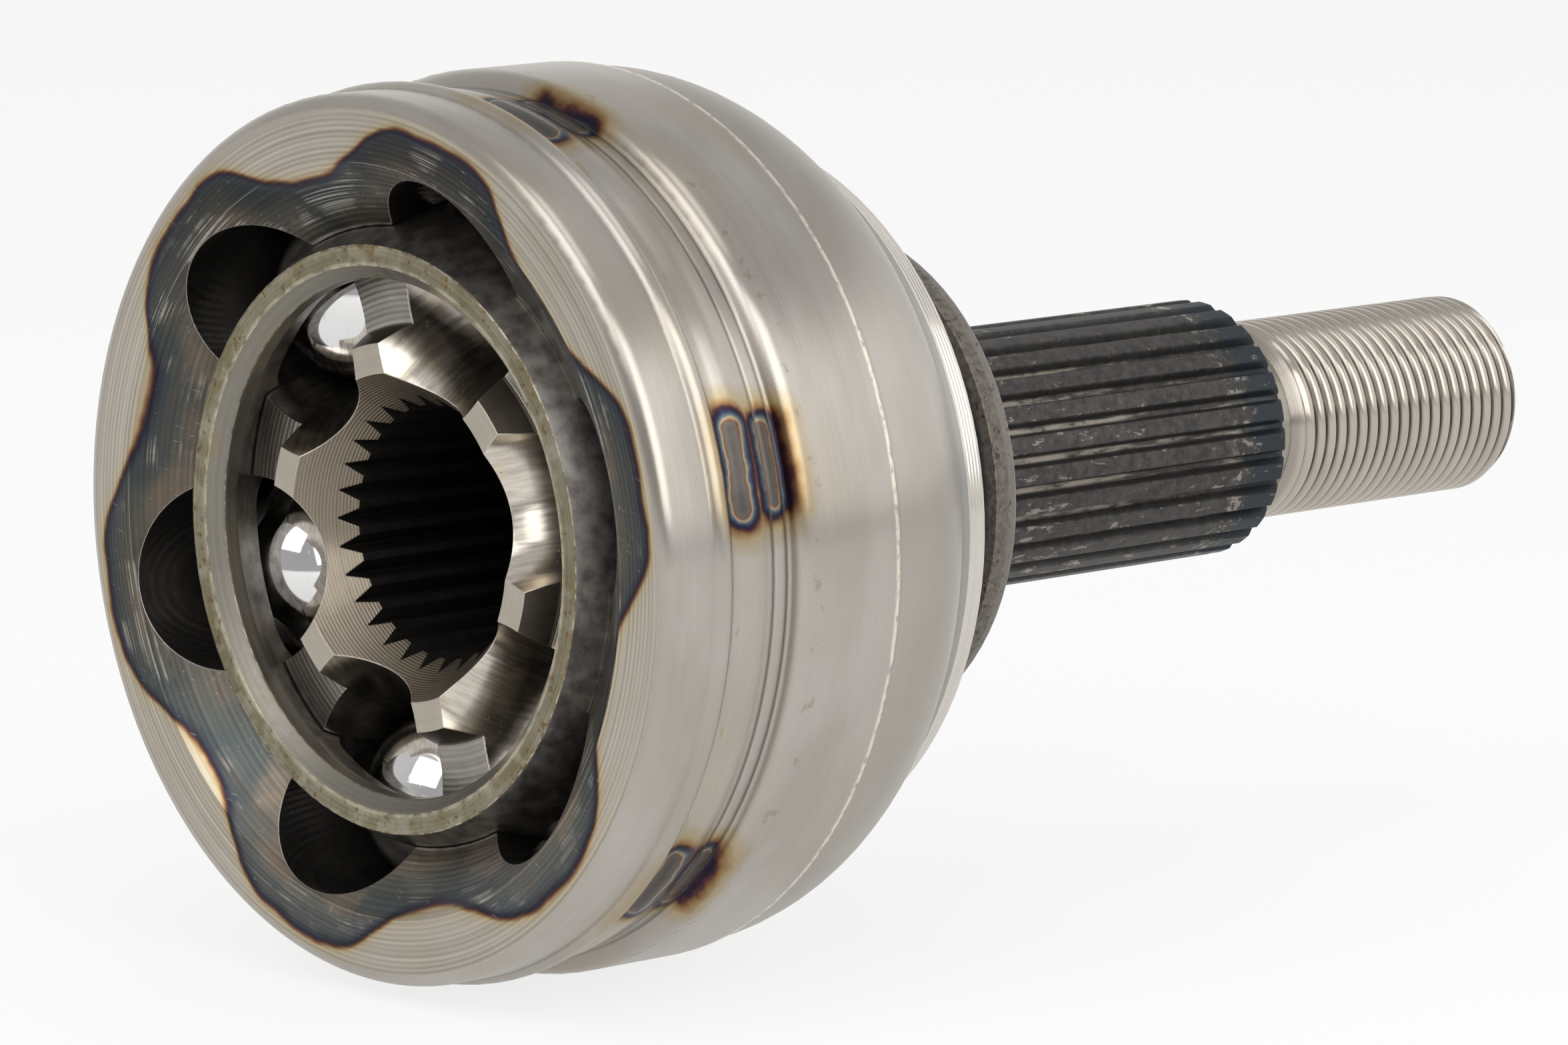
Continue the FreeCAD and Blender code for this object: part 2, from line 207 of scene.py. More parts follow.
class Surface:
    """A metal surface described on the joint's own axis, lengths in millimetres.

    Sharp edges look rounded to the edge radius. The angle is in degrees from +Y towards +Z.
    """

    BEVEL_SAMPLES = 6
    EDGE_COSINES = (0.985, 0.90)
    NOISE_SHIFT = 17.3
    PITCHES_BELOW = 10

    def __init__(self, name, edge, metallic=1.0):
        self.material = bpy.data.materials.new(name)
        self.material.use_nodes = True
        self.tree = self.material.node_tree
        self.shader = self.tree.nodes["Principled BSDF"]
        self.shader.inputs["Metallic"].default_value = metallic
        place = self.tree.nodes.new("ShaderNodeTexCoord")
        parts = self.tree.nodes.new("ShaderNodeSeparateXYZ")
        self.tree.links.new(place.outputs["Object"], parts.inputs[0])
        self.x, self.y, self.z = (Value(self.tree, parts.outputs[i]) / MM for i in range(3))
        self.radius = (self.y * self.y + self.z * self.z).root()
        self.angle = self.z.math("ARCTAN2", self.y) / RADIANS
        self.bevel = self.tree.nodes.new("ShaderNodeBevel")
        self.bevel.samples = self.BEVEL_SAMPLES
        self.bevel.inputs["Radius"].default_value = edge * MM
        self.shift = 0.0

    def sharp_edges(self):
        """1 on sharp edges, 0 away from them; used for worn edges and for painted edge highlights."""
        shape = self.tree.nodes.new("ShaderNodeNewGeometry")
        match = self.tree.nodes.new("ShaderNodeVectorMath")
        match.operation = "DOT_PRODUCT"
        self.tree.links.new(self.bevel.outputs["Normal"], match.inputs[0])
        self.tree.links.new(shape.outputs["Normal"], match.inputs[1])
        return Value(self.tree, match.outputs["Value"]).step(*self.EDGE_COSINES)

    def vector(self, x, y, z):
        """A place from its three coordinates."""
        node = self.tree.nodes.new("ShaderNodeCombineXYZ")
        for index, operand in enumerate((x, y, z)):
            plug(self.tree, node.inputs[index], operand)
        return Value(self.tree, node.outputs[0])

    def noise(self, x, y, z, scale=1.0, detail=3.0, roughness=0.5):
        """Noise from 0 to 1 at a place; each call is shifted, so that no two are alike."""
        self.shift += self.NOISE_SHIFT
        node = self.tree.nodes.new("ShaderNodeTexNoise")
        node.inputs["Scale"].default_value = scale
        node.inputs["Detail"].default_value = detail
        node.inputs["Roughness"].default_value = roughness
        plug(self.tree, node.inputs["Vector"], self.vector(x + self.shift, y, z))
        return Value(self.tree, node.outputs["Fac"])

    def blotches(self, scale, detail=3.0, roughness=0.55):
        """Noise alike in every direction, with about scale blotches in a millimetre."""
        return self.noise(self.x, self.y, self.z, scale, detail, roughness)

    def lines_by_radius(self, per_mm, drift=0.02, detail=2.0):
        """Turning lines on a face: fast along the radius, slow round the axis."""
        return self.noise(self.radius * per_mm, self.y * drift, self.z * drift, 1.0, detail)

    def lines_by_length(self, per_mm, drift=0.02, detail=2.0):
        """Turning lines on a barrel: fast along the axis, slow round it."""
        return self.noise(self.x * per_mm, self.y * drift, self.z * drift, 1.0, detail)

    def from_track(self):
        """Degrees round the axis from the nearest track."""
        # Counted from well below the first track, so that the fraction is of a positive number
        start = FIRST_TRACK - (self.PITCHES_BELOW + 0.5) * TRACK_PITCH
        pitches = (self.angle - start) / TRACK_PITCH
        return (pitches.math("FRACT") - 0.5) * TRACK_PITCH

    def in_track(self, centre_x, soft_from, soft_to):
        """1 in a track bent about centre_x; it fades at soft distances outside the groove's radius."""
        turn = self.from_track() * RADIANS
        across = self.radius * turn.math("SINE")
        outward = self.radius * turn.math("COSINE")
        shifted = self.x - centre_x
        ring = (shifted * shifted + outward * outward).root() - math.hypot(BALL_CIRCLE, TRACK_OFFSET)
        distance = (ring * ring + across * across).root()
        return distance.step(TRACK_GROOVE + soft_from, TRACK_GROOVE + soft_to)

    def mix(self, share, first, second, blend_type="MIX"):
        """The first colour at share 0, the second at share 1."""
        node = self.tree.nodes.new("ShaderNodeMix")
        node.data_type = "RGBA"
        node.blend_type = blend_type
        plug(self.tree, node.inputs["Factor"], share)
        plug(self.tree, node.inputs[6], first)
        plug(self.tree, node.inputs[7], second)
        return Value(self.tree, node.outputs[2])

    def blend(self, share, first, second):
        """The same as mix, for numbers."""
        return share * (second - first) + first

    def tint(self, colour, film):
        """A colour seen through a coloured film."""
        return self.mix(1.0, colour, film, "MULTIPLY")

    def ridges(self, place, pitch, wander=0.35):
        """Turning marks of a pitch, 0 in the grooves and 1 on the crests, slightly uneven."""
        drift = self.noise(place * 0.5, self.y * 0.03, self.z * 0.03, 1.0, 2.0)
        turns = place / pitch + drift * wander
        return (turns * (2 * math.pi)).math("SINE") * 0.5 + 0.5

    def times(self, colour, factor):
        """A colour made lighter or darker by a number."""
        node = self.tree.nodes.new("ShaderNodeVectorMath")
        node.operation = "SCALE"
        plug(self.tree, node.inputs[0], colour)
        plug(self.tree, node.inputs["Scale"], factor)
        return Value(self.tree, node.outputs[0])

    def ramp(self, value, stops):
        """Colour that follows a value in millimetres, from (place, colour) stops."""
        first = stops[0][0]
        span = stops[-1][0] - first
        node = self.tree.nodes.new("ShaderNodeValToRGB")
        band = node.color_ramp
        band.elements[0].color = stops[0][1] + (1.0,)
        band.elements[1].color = stops[-1][1] + (1.0,)
        for place, colour in stops[1:-1]:
            band.elements.new((place - first) / span).color = colour + (1.0,)
        plug(self.tree, node.inputs["Fac"], (value - first) / span)
        return Value(self.tree, node.outputs["Color"])

    def finish(self, colour, roughness, relief, depth, grain=0.0):
        """Sets the shader. Relief is a height whose range of 1 is depth millimetres.

        Grain stretches highlights across the turning lines.
        """
        plug(self.tree, self.shader.inputs["Base Color"], colour)
        plug(self.tree, self.shader.inputs["Roughness"], roughness)
        bump = self.tree.nodes.new("ShaderNodeBump")
        bump.inputs["Strength"].default_value = 1.0
        bump.inputs["Distance"].default_value = depth * MM
        plug(self.tree, bump.inputs["Height"], relief)
        self.tree.links.new(self.bevel.outputs["Normal"], bump.inputs["Normal"])
        self.tree.links.new(bump.outputs["Normal"], self.shader.inputs["Normal"])
        if grain:
            around = self.tree.nodes.new("ShaderNodeTangent")
            around.direction_type = "RADIAL"
            around.axis = "X"
            self.tree.links.new(around.outputs[0], self.shader.inputs["Tangent"])
            self.shader.inputs["Anisotropic"].default_value = grain
            self.shader.inputs["Anisotropic Rotation"].default_value = 0.25
        return self.material


# Oxide films as colours at distances in millimetres: inwards across the border of the mouth's
# tint, and outwards from the middle line of a heat spot
CLEAR = (1.0, 1.0, 1.0)
FACE_FILM = [
    (-2.0, CLEAR),
    (-0.7, (1.0, 0.97, 0.88)),
    (-0.28, (0.98, 0.86, 0.62)),
    (-0.05, (0.58, 0.37, 0.21)),
    (0.15, (0.20, 0.10, 0.09)),
    (0.38, (0.065, 0.06, 0.11)),
    (0.8, (0.10, 0.12, 0.17)),
    (1.4, (0.15, 0.18, 0.21)),
    (3.5, (0.21, 0.23, 0.235)),
    (7.0, (0.33, 0.315, 0.295)),
]
SPOT_FILM = [
    (0.0, (0.17, 0.165, 0.17)),
    (0.8, (0.25, 0.24, 0.235)),
    (0.98, (0.30, 0.19, 0.14)),
    (1.10, (0.66, 0.40, 0.26)),
    (1.22, (0.66, 0.60, 0.46)),
    (1.36, (0.30, 0.37, 0.40)),
    (1.55, (0.13, 0.18, 0.29)),
    (1.80, (0.06, 0.065, 0.14)),
    (2.05, (0.07, 0.05, 0.09)),
    (2.25, (0.20, 0.09, 0.10)),
    (2.42, (0.42, 0.24, 0.13)),
    (2.75, (0.66, 0.47, 0.26)),
    (3.3, (0.90, 0.78, 0.55)),
    (5.2, CLEAR),
]


# Heat tint of the mouth, in millimetres: radius of its border between the tracks, how far it
# reaches out over them, how far it wanders, and the heights between which the tint is painted
# paler going down: painted shade near the top and painted light near the foot
HEAT_RADIUS = 37.5
HEAT_LOBE = 5.4
HEAT_WANDER = 2.2
PAINTED_SHADE_TOP_Z = (34.0, 12.0)
PAINTED_LIGHT_FOOT_Z = (-8.0, -34.0)
FACE_MARK_PITCH = 0.55

# Colours of the face, the mouth and its oxide film
TURNED_STEEL = (0.45, 0.415, 0.365)
WARM_STEEL = (0.40, 0.365, 0.31)
OILED_FACE = (0.38, 0.34, 0.255)
PURPLE_FILM = (0.25, 0.20, 0.19)
BLUE_FILM = (0.095, 0.15, 0.19)
BROWN_FILM = (0.42, 0.36, 0.31)
RUBBED_FILM = (0.40, 0.37, 0.33)
CHIPPED_FILM = (0.45, 0.42, 0.375)
BOWL_DARK = (0.30, 0.275, 0.25)
BOWL_PALE = (0.62, 0.575, 0.52)
# Tracks of the bell painted near-black: painted shade
TRACK_SHADE_DARK = (0.07, 0.066, 0.062)
TRACK_SHADE_PALE = (0.17, 0.16, 0.15)
# Edges of the mouth: film worn off, and a painted highlight
MOUTH_EDGE_WEAR_AND_GLINT = (0.86, 0.81, 0.74)
FACE_SCRATCH = (0.60, 0.56, 0.51)
FACE_RUST = (0.17, 0.085, 0.03)


def mouth_steel():
    """Front face, mouth cone, sphere and tracks of the bell, with the wavy heat tint."""
    s = Surface("mouth_steel", edge=0.16)
    lobe = (s.from_track() * (2 * math.pi / TRACK_PITCH)).math("COSINE") * 0.5 + 0.5
    wander = s.noise(s.y, s.z, 0.0, 0.09, 3.0) - 0.5
    border = lobe.step(-0.08, 0.92) * HEAT_LOBE + HEAT_RADIUS + wander * HEAT_WANDER
    inward = border - s.radius
    marks = s.ridges(s.radius, FACE_MARK_PITCH)
    fine = s.lines_by_radius(2.6, 0.02)
    cut = s.lines_by_radius(6.0, 0.05, 2.0)

    bare = s.mix(s.blotches(0.10), WARM_STEEL, TURNED_STEEL)
    oil = s.blotches(0.045, 2.0).step(0.50, 0.66)
    bare = s.mix(oil * 0.3, bare, OILED_FACE)
    bare = s.times(bare, marks * 0.05 + fine * 0.07 + cut * 0.10 + 0.89)
    film = s.ramp(inward, FACE_FILM)
    hue = s.noise(s.radius * 1.6, s.y * 0.06, s.z * 0.06, 1.0, 3.0)
    heated = inward.step(0.5, 1.6)
    film = s.mix(hue.step(0.52, 0.66) * heated * 0.5, film, PURPLE_FILM)
    cool = s.noise(s.y, s.z, 0.0, 0.10, 2.0).step(0.44, 0.60) * (1 - lobe.power(3.0))
    film = s.mix(cool * heated * 0.5, film, BLUE_FILM)
    brown = s.noise(s.y, s.z, 3.0, 0.14, 3.0).step(0.44, 0.62) * inward.step(2.5, 5.0)
    film = s.mix(brown * 0.75, film, BROWN_FILM)
    # Painted shade and light: the heat tint is darker near the top and paler near the foot
    painted_light_and_shade_by_height = (s.z.step(*PAINTED_SHADE_TOP_Z) + s.z.step(*PAINTED_LIGHT_FOOT_Z)) * 0.40 + 0.60
    film = s.times(film, marks * 0.16 + fine * 0.7 + 0.55)
    film = s.times(film, s.blend(heated, 1.0, painted_light_and_shade_by_height))
    colour = s.tint(bare, film)
    patch = s.noise(s.y, s.z, 0.0, 0.16, 3.0).step(0.48, 0.62)
    worn = patch * s.lines_by_radius(4.5, 0.03).step(0.48, 0.66)
    colour = s.mix(worn * inward.step(0.7, 1.6) * 0.85, colour, RUBBED_FILM)
    chips = s.blotches(1.4, 4.0, 0.7).step(0.66, 0.70) * inward.step(2.0, 4.5)
    colour = s.mix(chips * 0.6, colour, CHIPPED_FILM)

    centre = (s.x * s.x + s.radius * s.radius).root()
    inside = centre.step(CAVITY_RADIUS + 0.4, CAVITY_RADIUS + 0.1)
    groove = s.in_track(-TRACK_OFFSET, 0.10, 0.03)
    bowl = s.mix(s.blotches(0.25, 5.0).step(0.32, 0.66), BOWL_DARK, BOWL_PALE)
    # The bell's ground tracks are painted near-black as painted shade deep inside them
    ground = s.mix(s.blotches(0.3), TRACK_SHADE_DARK, TRACK_SHADE_PALE)
    colour = s.mix(inside, colour, bowl)
    colour = s.mix(groove, colour, ground)
    # Sharp edges of the heat-tinted mouth: partly the film worn off, partly a painted highlight along
    # them
    colour = s.mix(s.sharp_edges() * (1 - inside) * heated * 0.9, colour, MOUTH_EDGE_WEAR_AND_GLINT)
    specks = s.blotches(1.1, 4.0, 0.7).step(0.70, 0.75)
    colour = s.mix(specks * (1 - heated) * 0.4, colour, FACE_RUST)
    scratch = s.noise(s.y * 0.35 + s.z * 0.15, s.z * 7.0 - s.y * 2.5, s.x, 1.0, 2.0).step(0.71, 0.75)
    colour = s.mix(scratch * (1 - inside) * 0.4, colour, FACE_SCRATCH)
    rough = s.blend(heated, s.blotches(0.5) * 0.10 + 0.20, cut * 0.2 + 0.26)
    rough = s.blend(inside, rough, 0.40)
    relief = marks * (heated * 0.5 + 0.16) + fine * (heated * 0.3 + 0.12) + cut * 0.35
    return s.finish(colour, rough, relief, depth=0.018, grain=0.6)


def spot_distance(s, middle_x, half_length):
    """Millimetres from the short line that runs round the axis through the middle of a heat spot."""
    along = s.x - middle_x
    arc = (s.from_track() * (RADIANS * BOOT_GROOVE_RADIUS)).size()
    past_end = (arc - half_length).most(0.0)
    return (along * along + past_end * past_end).root()


# Double heat spots in the boot groove: place along the axis, half length round it, and how
# much smaller the rear one is. Half width of the scribed lines and of the worn edge of the
# band's step. All in millimetres.
SPOTS_X = (FACE_X + 10.9, FACE_X + 15.2)
SPOT_HALF_LENGTHS = (3.9, 3.6)
REAR_SPOT_LESS = 0.4
LINE_HALF_WIDTH = 0.16
BURR_HALF_WIDTH = 0.45

# Colours of the turned outside of the bell
SHELL_WARM = (0.405, 0.375, 0.335)
SHELL_PALE = (0.475, 0.445, 0.405)
SHELL_STRAW = (0.45, 0.395, 0.305)
SCRIBED_LINE = (0.10, 0.09, 0.08)
STEP_BURR = (0.88, 0.80, 0.68)
SHELL_REAR = (0.37, 0.345, 0.305)
COLLAR_GREY = (0.33, 0.325, 0.31)
SHELL_STAIN = (0.26, 0.19, 0.11)
SHELL_PIT = (0.16, 0.13, 0.10)
FRESH_OIL = (0.34, 0.31, 0.16)


def shell_steel():
    """Turned outside of the bell, with a double heat spot in the boot groove over each track."""
    s = Surface("shell_steel", edge=0.6)
    fine = s.lines_by_length(7.0, 0.02)
    coarse = s.lines_by_length(1.6, 0.02)
    cloud = s.noise(s.x * 0.12, s.y * 0.05, s.z * 0.05, 1.0, 3.0)
    bare = s.mix(cloud.step(0.35, 0.68), SHELL_WARM, SHELL_PALE)
    straw = s.noise(s.x * 0.10, s.y * 0.04, s.z * 0.04, 1.0, 2.0).step(0.50, 0.66)
    bare = s.mix(straw * 0.35, bare, SHELL_STRAW)
    bare = s.times(bare, fine * 0.12 + coarse * 0.10 + 0.89)

    wave = (s.blotches(0.32, 3.0) - 0.5) * 1.3
    front = spot_distance(s, SPOTS_X[0], SPOT_HALF_LENGTHS[0])
    rear = spot_distance(s, SPOTS_X[1], SPOT_HALF_LENGTHS[1]) + REAR_SPOT_LESS
    colour = s.tint(bare, s.ramp(front.least(rear) + wave, SPOT_FILM))

    for line_x in BOOT_LINES_X:
        line = s.x.between(line_x - LINE_HALF_WIDTH, line_x + LINE_HALF_WIDTH, 0.10)
        colour = s.mix(line * 0.7, colour, SCRIBED_LINE)
    step_edge = s.x.between(BAND_END_X - BURR_HALF_WIDTH, BAND_END_X + BURR_HALF_WIDTH, 0.2)
    ragged = s.noise(s.x * 2.0, s.y * 0.9, s.z * 0.9, 1.0, 4.0, 0.6).step(0.34, 0.52)
    colour = s.mix(step_edge * ragged * 0.85, colour, STEP_BURR)
    rear_band = s.x.step(BAND_END_X, BAND_END_X + 0.8)
    colour = s.mix(rear_band * 0.35, colour, SHELL_REAR)
    collar = s.x.step(COLLAR_X - 0.1, COLLAR_X + 0.1)
    colour = s.mix(collar * 0.6, colour, COLLAR_GREY)
    stain_place = s.x.between(BAND_START_X - 0.4, BAND_START_X + 1.2, 0.4)
    stain = s.blotches(0.5, 4.0, 0.7).step(0.56, 0.64) * stain_place
    stain = stain.most(s.blotches(0.55, 5.0, 0.7).step(0.73, 0.80) * 0.6)
    colour = s.mix(stain * 0.4, colour, SHELL_STAIN)
    pits = s.blotches(2.6, 2.0, 0.6).step(0.74, 0.80)
    colour = s.mix(pits * 0.4, colour, SHELL_PIT)
    oil_place = s.x.between(BOOT_GROOVE_START_X - 0.6, BOOT_GROOVE_START_X + 1.0, 0.3)
    oil = s.noise(s.x * 0.5, s.y * 0.16, s.z * 0.16, 1.0, 3.0).step(0.62, 0.67) * oil_place
    colour = s.mix(oil * 0.6, colour, FRESH_OIL)
    rough = cloud * 0.08 + fine * 0.05 + 0.20 + rear_band * 0.05
    relief = fine * 0.5 + coarse * 0.5 - pits * 0.6 + step_edge * ragged * 1.5
    return s.finish(colour, rough, relief, depth=0.006, grain=0.75)


# Colours of the grooved ring
RING_DARK = (0.60, 0.56, 0.505)
RING_PALE = (0.70, 0.655, 0.585)
RING_PIT = (0.22, 0.17, 0.12)


def ring_steel():
    """Bright, finely grooved ring behind the shell."""
    s = Surface("ring_steel", edge=0.08)
    fine = s.lines_by_length(5.0, 0.03)
    colour = s.mix(s.blotches(0.2), RING_DARK, RING_PALE)
    colour = s.times(colour, fine * 0.30 + 0.80)
    pits = s.blotches(1.9, 3.0, 0.6).step(0.70, 0.76)
    colour = s.mix(pits * 0.5, colour, RING_PIT)
    return s.finish(colour, fine * 0.10 + 0.14, fine, depth=0.010, grain=0.6)


# Colours of the rear wall, the neck and the flange
FORGED_DARK = (0.024, 0.024, 0.026)
FORGED_PALE = (0.058, 0.058, 0.060)
FLANGE_DARK = (0.095, 0.078, 0.065)
FLANGE_PALE = (0.175, 0.155, 0.13)
FLANGE_BEVEL = (0.20, 0.185, 0.165)
FLANGE_PIT = (0.035, 0.03, 0.027)
SEAT_DARK = (0.30, 0.28, 0.26)
SEAT_PALE = (0.42, 0.39, 0.36)
FLANGE_EDGE = (0.44, 0.36, 0.25)


def forged_steel():
    """Blackened rear wall and neck, and the brown, pitted flange."""
    s = Surface("forged_steel", edge=0.2, metallic=0.55)
    grain = s.blotches(1.3, 5.0, 0.65)
    pits = s.blotches(1.0, 4.0, 0.75).step(0.58, 0.66)
    flange = s.x.step(FLANGE_X - 0.2, FLANGE_X + 0.2)
    black = s.mix(grain, FORGED_DARK, FORGED_PALE)
    brown = s.mix(grain.step(0.3, 0.7), FLANGE_DARK, FLANGE_PALE)
    pale = s.x.step(SEAT_X - 1.7, SEAT_X - 1.2)
    brown = s.mix(pale * 0.6, brown, FLANGE_BEVEL)
    brown = s.mix(pits * 0.85, brown, FLANGE_PIT)
    seat = s.x.step(SEAT_X - 0.12, SEAT_X - 0.03)
    lines = s.lines_by_radius(3.0, 0.02)
    turned = s.times(s.mix(grain, SEAT_DARK, SEAT_PALE), lines * 0.5 + 0.75)
    colour = s.mix(flange, black, brown)
    worn = s.sharp_edges() * flange * grain.step(0.35, 0.6)
    colour = s.mix(worn * 0.6, colour, FLANGE_EDGE)
    colour = s.mix(seat, colour, turned)
    rough = s.blend(seat, grain * 0.25 + 0.42, 0.34)
    return s.finish(colour, rough, grain * 0.7 - pits * 1.3 + seat * lines, depth=0.06)


# Ends of the spline's zones, in millimetres from its rear end or from the hub seat
WEAR_FROM_SEAT = 6.0
WEAR_FROM_END = 14.0
BLUED_FROM_END = (8.0, 3.5)
RUB_FROM_END = (8.5, 5.0)

# Colours of the stub's spline
SCALE_DARK = (0.030, 0.028, 0.027)
SCALE_PALE = (0.072, 0.067, 0.062)
# Flanks painted darker than the scale, as painted shade
SCALE_FLANK_SHADE = (0.020, 0.019, 0.018)
SCALE_BOTTOM = (0.33, 0.295, 0.245)
SCALE_WORN = (0.36, 0.325, 0.28)
SCALE_DOT = (0.30, 0.265, 0.225)
SCALE_BLUED = (0.018, 0.026, 0.034)


def spline_scale():
    """Black scale on the stub's spline, worn bright in the grooves near the flange."""
    s = Surface("spline_scale", edge=0.28, metallic=0.6)
    grain = s.blotches(0.9, 5.0, 0.65)
    rows = s.noise(s.x * 0.14, s.y * 1.2, s.z * 1.2, 1.0, 5.0, 0.6)
    patches = s.noise(s.x * 0.35, s.y * 0.9, s.z * 0.9, 1.0, 6.0, 0.72)
    dark = s.mix(grain.step(0.3, 0.7), SCALE_DARK, SCALE_PALE)
    # Flanks of the spline teeth are painted darker: painted shade between the teeth
    shaded_flank = s.radius.between(SPLINE_ROOT + 0.25, SPLINE_TIP - 0.25, 0.10)
    bottom = s.radius.step(SPLINE_ROOT + 0.30, SPLINE_ROOT + 0.10)
    near_flange = s.x.step(SPLINE_END_X - WEAR_FROM_END, SEAT_X + WEAR_FROM_SEAT)
    blued = s.x.step(*(SPLINE_END_X - length for length in BLUED_FROM_END))
    blued = (blued + (grain - 0.5) * 2.2).step(0.30, 0.70)
    colour = s.mix(shaded_flank * 0.7, dark, SCALE_FLANK_SHADE)
    strip = bottom * (rows * 1.6 + near_flange * 0.4 - 0.55).step(0.25, 0.55)
    strip = strip * patches.step(0.34, 0.50)
    colour = s.mix(strip * 0.75, colour, SCALE_BOTTOM)
    tops = s.radius.step(SPLINE_TIP - 0.22, SPLINE_TIP - 0.08)
    flakes = tops * (patches + near_flange * 0.07 - s.z * 0.002).step(0.615, 0.66)
    rub = s.x.between(SPLINE_END_X - RUB_FROM_END[0], SPLINE_END_X - RUB_FROM_END[1], 1.0)
    flakes = flakes.most(rub * grain.step(0.52, 0.60) * tops)
    colour = s.mix(flakes * 0.55, colour, SCALE_WORN)
    dots = s.blotches(3.2, 3.0, 0.7).step(0.66, 0.72)
    colour = s.mix(dots * 0.5, colour, SCALE_DOT)
    colour = s.mix(blued * (1 - flakes) * 0.85, colour, SCALE_BLUED)
    rough = s.blend(strip.most(flakes), grain * 0.2 + 0.42, 0.33)
    return s.finish(colour, rough, grain + rows * 0.8 - flakes * 0.5, depth=0.05)


# Colours of the thread and its neck
THREAD_DARK = (0.42, 0.38, 0.325)
THREAD_PALE = (0.55, 0.50, 0.435)
THREAD_NECK = (0.30, 0.275, 0.24)
THREAD_VALLEY = (0.10, 0.098, 0.102)
THREAD_END = (0.40, 0.38, 0.35)
THREAD_STAIN = (0.34, 0.23, 0.13)


def thread_steel():
    """Bright neck and rolled thread of the stub."""
    s = Surface("thread_steel", edge=0.08)
    fine = s.lines_by_length(6.0, 0.05)
    cloud = s.blotches(0.16, 3.0)
    depth = s.radius.step(THREAD_RADIUS - 0.12, THREAD_RADIUS - THREAD_DEPTH * 0.75)
    on_thread = s.x.step(THREAD_START_X, THREAD_START_X + 1.5)
    colour = s.mix(cloud, THREAD_DARK, THREAD_PALE)
    on_neck = s.x.step(THREAD_START_X + 0.8, THREAD_START_X)
    colour = s.mix(on_neck * 0.7, colour, THREAD_NECK)
    colour = s.mix(depth * on_thread * 0.85, colour, THREAD_VALLEY)
    end = s.x.step(STUB_END_X - 0.1, STUB_END_X - 0.02)
    colour = s.mix(end * 0.5, colour, THREAD_END)
    stain = s.blotches(0.7, 4.0, 0.7).step(0.66, 0.75)
    colour = s.mix(stain * 0.3, colour, THREAD_STAIN)
    return s.finish(colour, cloud * 0.08 + 0.19, fine, depth=0.006, grain=0.4)


# Inner edge of the cage's rim, and the chamfer and sphere edge inside it, in millimetres
CAGE_RIM_INNER = 27.9
CAGE_LIP_RADII = (28.4, 27.6)
CAGE_LIP_FROM_MIDDLE = (12.0, 14.2)

# Colours of the cage
OLIVE_DARK = (0.175, 0.15, 0.085)
OLIVE_PALE = (0.25, 0.23, 0.17)
OLIVE_STAIN = (0.20, 0.155, 0.07)
OLIVE_SCUFF = (0.42, 0.39, 0.31)
RIM_RUST = (0.17, 0.095, 0.03)
RIM_WORN_AND_LIT = (0.58, 0.54, 0.41)
CAGE_DARK = (0.11, 0.10, 0.092)
CAGE_PALE = (0.27, 0.255, 0.235)
LIP_DARK = (0.17, 0.16, 0.135)
LIP_PALE = (0.30, 0.28, 0.24)
LIP_STAIN = (0.30, 0.23, 0.11)
CAGE_EDGE_WEAR_AND_GLINT = (0.80, 0.73, 0.56)
CAGE_EDGE_RUST = (0.17, 0.085, 0.03)


